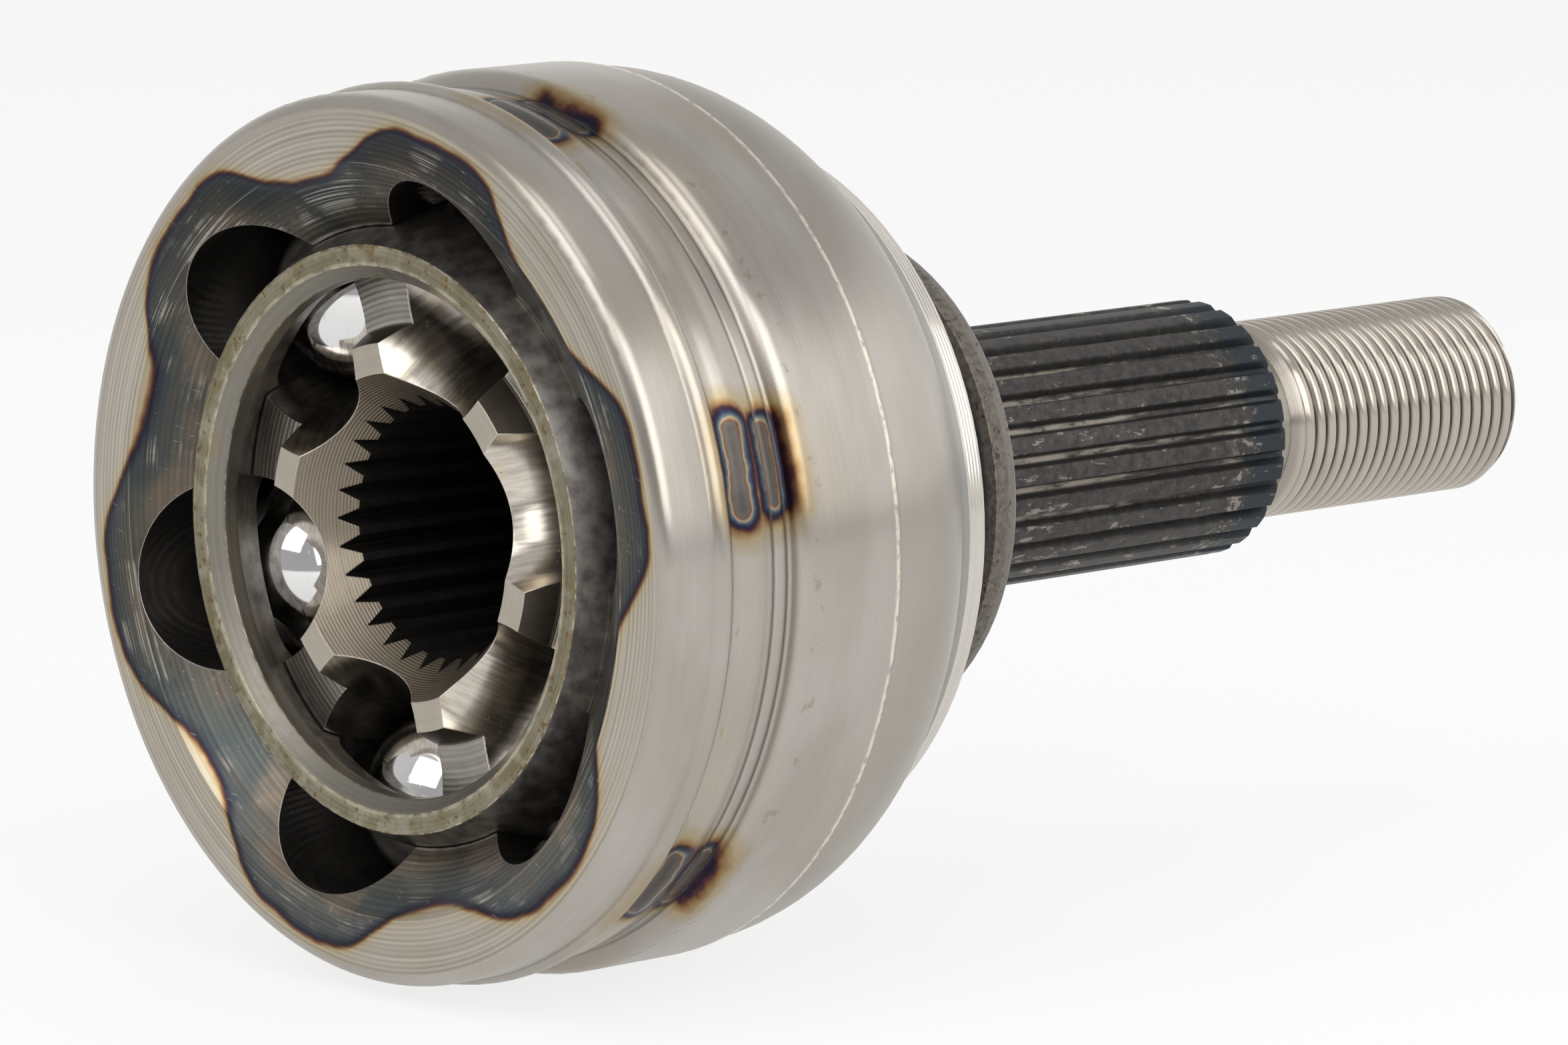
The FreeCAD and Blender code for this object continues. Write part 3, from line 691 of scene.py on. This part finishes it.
def cage_steel():
    """Oiled case-hardened cage: olive rim flat with rust specks, dark sphere and bore."""
    s = Surface("cage_steel", edge=0.35)
    rim = s.x.size().step(-CAGE_RIM_X - 0.10, -CAGE_RIM_X - 0.02)
    lines = s.lines_by_radius(2.6, 0.03)
    turned = s.lines_by_length(3.0, 0.03)
    olive = s.mix(s.blotches(0.14, 3.0).step(0.3, 0.7), OLIVE_DARK, OLIVE_PALE)
    stained = s.blotches(0.25, 4.0, 0.6).step(0.55, 0.70)
    olive = s.mix(stained * 0.6, olive, OLIVE_STAIN)
    marks = s.ridges(s.radius, 0.52, 0.8)
    olive = s.times(olive, lines * 0.7 + marks * 0.12 + 0.6)
    scuffs = s.blotches(0.35, 4.0).step(0.50, 0.66) * (lines * 0.8 + 0.3)
    olive = s.mix(scuffs * 0.6, olive, OLIVE_SCUFF)
    rust = s.blotches(0.9, 5.0, 0.7).step(0.575, 0.64)
    olive = s.mix(rust * 0.85, olive, RIM_RUST)
    # A paler line along the rim's inner edge: partly wear, partly a painted highlight of the edge
    rim_edge = s.radius.step(CAGE_RIM_INNER + 0.5, CAGE_RIM_INNER + 0.2)
    worn_and_lit_edge = rim_edge * s.blotches(0.5, 3.0).step(0.3, 0.6)
    olive = s.mix(worn_and_lit_edge * 0.5, olive, RIM_WORN_AND_LIT)
    dark = s.mix(s.blotches(0.45, 4.0).step(0.3, 0.7), CAGE_DARK, CAGE_PALE)
    inner = s.radius.step(*CAGE_LIP_RADII) * s.x.size().step(*CAGE_LIP_FROM_MIDDLE)
    lip = s.mix(turned, LIP_DARK, LIP_PALE)
    lip = s.mix(stained * 0.4, lip, LIP_STAIN)
    colour = s.mix(inner, dark, lip)
    colour = s.mix(rim, colour, olive)
    # Sharp edges of the rim and lip: the bright parts are wear and a painted highlight, the rest rust
    wear_and_glint = s.sharp_edges() * rim.most(inner)
    bright = s.blotches(0.8, 3.0).step(0.40, 0.60)
    colour = s.mix(wear_and_glint * bright * 0.85, colour, CAGE_EDGE_WEAR_AND_GLINT)
    colour = s.mix(wear_and_glint * (1 - bright) * 0.5, colour, CAGE_EDGE_RUST)
    rough = s.blend(rim, s.blotches(0.8) * 0.2 + 0.32, s.blotches(0.6) * 0.14 + 0.28)
    relief = lines * rim * 0.6 + turned * inner * 0.8 + s.blotches(2.0, 3.0) * 0.4 - rust * rim
    return s.finish(colour, rough, relief, depth=0.025, grain=0.3)


# Zones of the inner race: radius of its sphere, and distances from its middle and radii of
# the ribbed shoulder, the bevel and the countersink, in millimetres
RACE_SPHERE = 29.6
SHOULDER_FROM_MIDDLE = (10.75, 11.05)
SHOULDER_INNER = 21.3
BEVEL_FROM_MIDDLE = 11.2
BEVEL_INNER = 19.75
CONE_OUTER = 17.2
CONE_MARK_PITCH = 0.30
RIB_PITCH = 0.62

# Colours of the inner race
CONE_DARK = (0.235, 0.20, 0.155)
CONE_PALE = (0.30, 0.26, 0.205)
LAND_DARK = (0.42, 0.38, 0.315)
LAND_PALE = (0.52, 0.475, 0.405)
RIB_DARK = (0.24, 0.22, 0.20)
RIB_PALE = (0.36, 0.335, 0.305)
GROUND_DARK = (0.50, 0.455, 0.395)
GROUND_PALE = (0.72, 0.66, 0.585)
GROUND_GOLD = (0.62, 0.52, 0.34)
BEVEL_DARK = (0.10, 0.085, 0.07)
BEVEL_PALE = (0.20, 0.17, 0.14)
STAR_DARK = (0.16, 0.15, 0.14)
STAR_PALE = (0.28, 0.265, 0.245)
BORE_DARK = (0.030, 0.028, 0.026)
BORE_PALE = (0.08, 0.075, 0.07)
RACE_RUST = (0.19, 0.11, 0.05)
TRACK_PIT = (0.12, 0.10, 0.085)
RACE_EDGE_WEAR_AND_GLINT = (0.66, 0.61, 0.53)


def race_steel():
    """Inner race: turned countersink, smooth lands, ribbed shoulder, ground tracks, dark bore."""
    s = Surface("race_steel", edge=0.2)
    track = s.in_track(TRACK_OFFSET, 0.07, 0.02)
    ends = s.x.size()
    land = ends.step(-RACE_FRONT_X - 0.05, -RACE_FRONT_X - 0.01)
    sphere = (s.x * s.x + s.radius * s.radius).root().step(RACE_SPHERE, RACE_SPHERE + 0.05)
    shoulder = ends.between(*SHOULDER_FROM_MIDDLE, 0.05) * (1 - sphere)
    shoulder = shoulder * s.radius.step(SHOULDER_INNER, SHOULDER_INNER + 0.15)
    bevel = ends.step(BEVEL_FROM_MIDDLE, BEVEL_FROM_MIDDLE + 0.15)
    bevel = bevel * s.radius.step(BEVEL_INNER, BEVEL_INNER + 0.10)
    cone = s.radius.step(CONE_OUTER + 0.4, CONE_OUTER) * (1 - land) * (1 - track)
    cone_line = (ends + RACE_FRONT_X) * COUNTERSINK_SLOPE + COUNTERSINK_RADIUS
    on_cone = (s.radius - cone_line).size().step(0.14, 0.06) * s.x.step(0.0, -1.0)
    spline = s.radius.step(BORE_ROOT + 0.1, BORE_ROOT) * (1 - on_cone)

    fine = s.lines_by_radius(4.5, 0.02)
    marks = s.ridges(s.x, CONE_MARK_PITCH, 0.2)
    ribs = s.ridges(s.radius, RIB_PITCH, 0.15)
    rib_noise = s.lines_by_radius(2.0, 0.03)
    beige = s.mix(s.blotches(0.2), CONE_DARK, CONE_PALE)
    smooth = s.mix(s.blotches(0.3), LAND_DARK, LAND_PALE)
    rib_tone = s.mix(s.blotches(0.3), RIB_DARK, RIB_PALE)
    rib_tone = s.times(rib_tone, ribs * 0.2 + rib_noise * 0.8 + 0.5)
    turn = s.from_track() * RADIANS
    across, outward = s.radius * turn.math("SINE"), s.radius * turn.math("COSINE")
    streak = s.noise(s.x * 0.25, across * 2.2, outward * 0.25, 1.0, 4.0)
    ground = s.mix(streak.step(0.3, 0.7), GROUND_DARK, GROUND_PALE)
    gold = s.noise(s.x * 0.3, s.y * 0.2, s.z * 0.2, 1.0, 2.0).step(0.52, 0.66)
    ground = s.mix(gold * 0.4, ground, GROUND_GOLD)
    brown = s.mix(s.blotches(0.4), BEVEL_DARK, BEVEL_PALE)
    bowl = s.mix(s.blotches(0.4), STAR_DARK, STAR_PALE)
    colour = s.mix(sphere, smooth, bowl)
    colour = s.mix(shoulder, colour, rib_tone)
    colour = s.mix(bevel, colour, brown)
    colour = s.mix(cone, colour, s.times(beige, marks * 0.22 + fine * 0.28 + 0.74))
    colour = s.mix(track, colour, ground)
    colour = s.mix(land, colour, s.times(smooth, fine * 0.2 + 0.85))
    bore = s.mix(s.blotches(0.5), BORE_DARK, BORE_PALE)
    colour = s.mix(spline, colour, bore)
    flecks = s.blotches(0.8, 5.0, 0.7).step(0.68, 0.74) * (1 - spline)
    colour = s.mix(flecks * 0.6, colour, RACE_RUST)
    pits = s.blotches(2.4, 3.0, 0.7).step(0.68, 0.73) * track
    colour = s.mix(pits * 0.6, colour, TRACK_PIT)
    # Sharp edges of the race painted paler: partly wear, partly a painted highlight
    colour = s.mix(s.sharp_edges() * (1 - spline) * 0.5, colour, RACE_EDGE_WEAR_AND_GLINT)
    rough = s.blend(track, s.blotches(0.6) * 0.14 + 0.30, streak * 0.12 + 0.13)
    rough = s.blend(spline, rough, 0.5)
    relief = (fine + marks) * cone * 0.5 + (ribs * 0.5 + rib_noise) * shoulder
    relief = relief + streak * track * 0.4 - pits * 0.4
    return s.finish(colour, rough, relief, depth=0.03, grain=0.3)


# Colours of the balls
BALL_COOL = (0.70, 0.70, 0.71)
BALL_WARM = (0.80, 0.795, 0.785)
BALL_SCRATCH = (0.45, 0.43, 0.40)


def ball_steel():
    """Polished bearing balls with the faintest handling marks."""
    s = Surface("ball_steel", edge=0.02)
    cloud = s.blotches(0.25, 3.0)
    scratch = s.noise(s.x * 0.6, s.y * 5.0, s.z * 0.8, 1.0, 3.0).step(0.66, 0.72)
    colour = s.mix(cloud, BALL_COOL, BALL_WARM)
    colour = s.mix(scratch * 0.2, colour, BALL_SCRATCH)
    return s.finish(colour, cloud * 0.03 + scratch * 0.06 + 0.04, scratch, depth=0.002)


def floor_white():
    """Pale floor that reads white to the camera and keeps a soft shadow."""
    material = bpy.data.materials.new("floor_white")
    material.use_nodes = True
    tree = material.node_tree
    shader = tree.nodes["Principled BSDF"]
    shader.inputs["Base Color"].default_value = FLOOR_COLOUR
    shader.inputs["Roughness"].default_value = 0.9
    shader.inputs["Specular IOR Level"].default_value = 0.0
    glow = tree.nodes.new("ShaderNodeEmission")
    glow.inputs["Color"].default_value = WHITE
    path = tree.nodes.new("ShaderNodeLightPath")
    mix = tree.nodes.new("ShaderNodeMixShader")
    seen = Value(tree, path.outputs["Is Camera Ray"]) * FLOOR_SEEN
    mirrored = Value(tree, path.outputs["Is Glossy Ray"]) * FLOOR_MIRRORED
    plug(tree, mix.inputs[0], seen.most(mirrored))
    tree.links.new(shader.outputs[0], mix.inputs[1])
    tree.links.new(glow.outputs[0], mix.inputs[2])
    tree.links.new(mix.outputs[0], tree.nodes["Material Output"].inputs["Surface"])
    return material


# Surfaces of the bell, in the order of its materials
MOUTH, SHELL, RING, FORGED, SPLINE, THREAD = range(6)

# Limits used where the bell's mesh is sorted and smoothed: nearness in millimetres, the least
# cosine between slopes of one surface, and how straight a face looks along the axis
NEAR = 0.01
SAME_SURFACE = 0.85
FLAT_FACE = 0.99999


def bell_zone(middle, normal):
    """Which of the bell's surfaces a face belongs to."""
    x, radius = middle.x / MM, math.hypot(middle.y, middle.z) / MM
    inward = normal.y * middle.y + normal.z * middle.z < 0
    on_face = x < FACE_X + NEAR and radius > MOUTH_RADIUS - 10 * NEAR
    in_sphere = math.hypot(x, radius) < CAVITY_RADIUS + 20 * NEAR
    in_track = x < COLLAR_X and radius < TRACKS_WITHIN and inward
    if on_face or in_sphere or in_track:
        return MOUTH
    if x < RING_START_X:
        return SHELL
    if x < RING_END_X:
        return RING
    if x < SEAT_X + 2 * NEAR:
        return FORGED
    if x < SPLINE_END_X + 2 * NEAR:
        return SPLINE
    return THREAD


def ring_of(place):
    """Place along the axis and radius of a vertex, to a hundredth of a millimetre."""
    return round(place.x / MM, 2), round(math.hypot(place.y, place.z) / MM, 2)


def outline_slope(ring, own, beside, by_depth):
    """Slope of the turned outline at a ring, on the own side of a crease.

    A ring that bounds no even band of faces takes the slopes beside the rings nearest to it.
    """
    if ring in beside:
        weighted = [(slope, 1.0) for slope in beside[ring].values()]
    else:
        around = [r for step in (-1, 0, 1) for r in by_depth.get(round(ring[0]) + step, ())]
        weighted = [(slope, 1 / (math.dist(ring, r) + 2 * NEAR) ** 3) for r in around
                    for slope in beside[r].values()]
    alike = [slope * weight for slope, weight in weighted if slope.dot(own) > SAME_SURFACE]
    return sum(alike, own * 1e-6).normalized()


def turned_normals(mesh, zones):
    """Gives turned surfaces the even normals of their outline, so that highlights run true."""
    slopes = {}  # slope of each face, as its parts along the axis and outward
    beside = {}  # for each ring of vertices, the slopes of the bands of faces that end there
    for face in mesh.polygons:
        if face.material_index not in zones:
            continue
        middle = face.center
        radial = (face.normal.y * middle.y + face.normal.z * middle.z) / middle.yz.length
        slope = Vector((face.normal.x, radial)).normalized()
        rings = sorted({ring_of(mesh.vertices[i].co) for i in face.vertices})
        if len(rings) == 2:
            near, far = rings
            exact = Vector((near[1] - far[1], far[0] - near[0])).normalized()
            slope = exact if exact.dot(slope) > 0 else -exact
            for ring in rings:
                beside.setdefault(ring, {})[(near, far)] = slope
        slopes[face.index] = slope
    by_depth = {}
    for ring in beside:
        by_depth.setdefault(round(ring[0]), []).append(ring)
    normals = [corner.vector.copy() for corner in mesh.corner_normals]
    for face in mesh.polygons:
        own = slopes.get(face.index)
        for corner in face.loop_indices:
            place = mesh.vertices[mesh.loops[corner].vertex_index].co
            if abs(face.normal.x) > FLAT_FACE:
                normals[corner] = Vector((math.copysign(1.0, face.normal.x), 0.0, 0.0))
            elif own is not None:
                slope = outline_slope(ring_of(place), own, beside, by_depth)
                outward = place.yz.normalized() * slope.y
                normals[corner] = Vector((slope.x, outward.x, outward.y))
    mesh.normals_split_custom_set(normals)


def make_bell():
    """The bell and stub as the solid has them, up to the neck, with each surface's finish."""
    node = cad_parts["outer_race"]
    mesh = node.data.copy()
    mesh.name = "bell"
    mesh.materials.clear()
    for build in (mouth_steel, shell_steel, ring_steel, forged_steel, spline_scale, thread_steel):
        mesh.materials.append(build())
    work = bmesh.new()
    work.from_mesh(mesh)
    start = (THREAD_START_X - NEAR) * MM
    thread_faces = [f for f in work.faces if min(v.co.x for v in f.verts) > start]
    bmesh.ops.delete(work, geom=thread_faces, context="FACES")
    for face in work.faces:
        face.material_index = bell_zone(face.calc_center_median(), face.normal)
    work.to_mesh(mesh)
    work.free()
    turned_normals(mesh, (SHELL, RING, FORGED))
    bell = bpy.data.objects.new("bell", mesh)
    bpy.context.scene.collection.objects.link(bell)
    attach(bell, "outer_race")
    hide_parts("outer_race")
    return bell


def thread_radius(x, turn):
    """Radius of the rolled thread at a place along the axis and an angle in radians."""
    phase = ((x - THREAD_START_X) / THREAD_PITCH - turn / (2 * math.pi)) % 1.0
    from_root = abs(phase - 0.5) * 2
    form = math.sin(min(1.0, from_root / THREAD_FLANK_SHARE) * math.pi / 2)
    fade = min(1.0, max(0.0, (x - THREAD_START_X - THREAD_PLAIN_LENGTH) / THREAD_RUN_IN))
    radius = THREAD_RADIUS - THREAD_DEPTH * (1 - form) * fade
    chamfer_end = THREAD_RADIUS - THREAD_CHAMFER + (STUB_END_X - x)
    chamfer_start = NECK_RADIUS + (x - THREAD_START_X)
    return min(radius, chamfer_end, chamfer_start)


def add_ring(work, x, radii):
    """Ring of vertices round the axis at a place along it, one for each radius."""
    ring = []
    for column, radius in enumerate(radii):
        turn = 2 * math.pi * column / len(radii)
        place = (x * MM, radius * math.cos(turn) * MM, radius * math.sin(turn) * MM)
        ring.append(work.verts.new(place))
    return ring


def make_thread(steel):
    """Helical thread on the end of the stub, with the lathe centre in its end."""
    length = STUB_END_X - THREAD_START_X
    rows = int(length / THREAD_PITCH * THREAD_STEPS_A_TURN)
    turns = [2 * math.pi * column / THREAD_SIDES for column in range(THREAD_SIDES)]
    work = bmesh.new()
    rings = []
    for row in range(rows + 1):
        x = THREAD_START_X + length * row / rows
        rings.append(add_ring(work, x, [thread_radius(x, turn) for turn in turns]))
    for radius, depth in LATHE_CENTRE:
        rings.append(add_ring(work, STUB_END_X - depth, [radius] * THREAD_SIDES))
    for near, far in zip(rings, rings[1:]):
        for column in range(THREAD_SIDES):
            after = (column + 1) % THREAD_SIDES
            work.faces.new((near[column], near[after], far[after], far[column]))
    work.faces.new(rings[-1])
    work.faces.new(list(reversed(rings[0])))
    bmesh.ops.recalc_face_normals(work, faces=work.faces)
    mesh = bpy.data.meshes.new("axle_thread")
    work.to_mesh(mesh)
    work.free()
    mesh.materials.append(steel)
    for polygon in mesh.polygons:
        polygon.use_smooth = True
    mesh.set_sharp_from_angle(angle=math.radians(THREAD_SHARP_ANGLE))
    thread = bpy.data.objects.new("axle_thread", mesh)
    bpy.context.scene.collection.objects.link(thread)
    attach(thread, "outer_race")


def dress(node, material):
    """Gives a node that keeps its solid's shape its finish."""
    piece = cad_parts[node]
    for slot in piece.material_slots:
        slot.link = "OBJECT"
        slot.material = material


def area_light(name, azimuth, elevation, width, height, radiance):
    """Soft box of a brightness. Azimuth 0 is the camera's right, 90 is behind the joint."""
    aim = Vector(LIGHT_AIM)
    turn, rise = math.radians(azimuth), math.radians(elevation)
    level = Vector(CAMERA_RIGHT) * math.cos(turn) + Vector(LEVEL_FORWARD) * math.sin(turn)
    heading = level * math.cos(rise) + Vector((0.0, 0.0, math.sin(rise)))
    place = aim + heading * LIGHT_DISTANCE
    data = bpy.data.lights.new(name, "AREA")
    data.shape = "RECTANGLE"
    data.size = width
    data.size_y = height
    data.energy = radiance * math.pi * width * height
    lamp = bpy.data.objects.new(name, data)
    lamp.location = place
    lamp.rotation_mode = "QUATERNION"
    lamp.rotation_quaternion = (aim - place).to_track_quat("-Z", "Y")
    bpy.context.scene.collection.objects.link(lamp)


def make_world():
    """Studio surroundings: bright behind and to the right, darker on the camera's side."""
    world = bpy.data.worlds.new("studio")
    bpy.context.scene.world = world
    world.use_nodes = True
    tree = world.node_tree
    sky = tree.nodes["Background"]
    sky.inputs["Color"].default_value = WHITE
    place = tree.nodes.new("ShaderNodeTexCoord")
    parts = tree.nodes.new("ShaderNodeSeparateXYZ")
    tree.links.new(place.outputs["Generated"], parts.inputs[0])
    x, y, height = (Value(tree, parts.outputs[i]) for i in range(3))
    right = x * CAMERA_RIGHT[0] + y * CAMERA_RIGHT[1]
    back = x * LEVEL_FORWARD[0] + y * LEVEL_FORWARD[1]
    level = back.step(0.1, 0.9) * height.step(0.75, 0.2) * BACK_GLOW
    level = level + right.step(0.45, 0.85) * height.between(0.02, 0.60, 0.02) * RIGHT_GLOW
    level = level - back.step(-0.1, -0.8) * FRONT_SHADE + SURROUNDINGS
    plug(tree, sky.inputs["Strength"], level)
    white = tree.nodes.new("ShaderNodeBackground")
    white.inputs["Color"].default_value = WHITE
    white.inputs["Strength"].default_value = 1.0
    path = tree.nodes.new("ShaderNodeLightPath")
    mix = tree.nodes.new("ShaderNodeMixShader")
    tree.links.new(path.outputs["Is Camera Ray"], mix.inputs[0])
    tree.links.new(sky.outputs[0], mix.inputs[1])
    tree.links.new(white.outputs[0], mix.inputs[2])
    tree.links.new(mix.outputs[0], tree.nodes["World Output"].inputs["Surface"])


def make_floor():
    """Floor just under the bell."""
    level = cad_low.z - FLOOR_GAP
    signs = ((-1, -1), (1, -1), (1, 1), (-1, 1))
    corners = [(x * FLOOR_HALF, y * FLOOR_HALF, level) for x, y in signs]
    mesh = bpy.data.meshes.new("floor")
    mesh.from_pydata(corners, [], [(0, 1, 2, 3)])
    mesh.materials.append(floor_white())
    floor = bpy.data.objects.new("floor", mesh)
    bpy.context.scene.collection.objects.link(floor)


def make_camera():
    """Camera at the photograph's place and angle."""
    data = bpy.data.cameras.new("camera")
    data.lens = CAMERA_LENS
    data.sensor_width = CAMERA_FRAME
    data.clip_start = 0.05
    data.clip_end = 20.0
    camera = bpy.data.objects.new("camera", data)
    right = Vector(CAMERA_RIGHT).normalized()
    back = right.cross(Vector(CAMERA_UP)).normalized()
    up = back.cross(right)
    turn = Matrix((right, up, back)).transposed().to_4x4()
    camera.matrix_world = Matrix.Translation(CAMERA_PLACE) @ turn
    bpy.context.scene.collection.objects.link(camera)
    bpy.context.scene.camera = camera


def make_lights():
    """Soft boxes to the right and the left of the camera, and one above."""
    area_light("right_box", azimuth=-62, elevation=30, width=1.25, height=0.90, radiance=2.2)
    area_light("left_box", azimuth=-134, elevation=38, width=0.75, height=0.62, radiance=2.1)
    area_light("top_box", azimuth=-60, elevation=78, width=0.55, height=0.5, radiance=1.2)


bpy.context.scene.view_settings.view_transform = "Standard"
bell = make_bell()
make_thread(bell.data.materials[THREAD])
dress("cage", cage_steel())
dress("inner_race", race_steel())
polished = ball_steel()
for number in range(1, BALLS + 1):
    dress("ball_%d" % number, polished)
make_world()
make_floor()
make_lights()
make_camera()
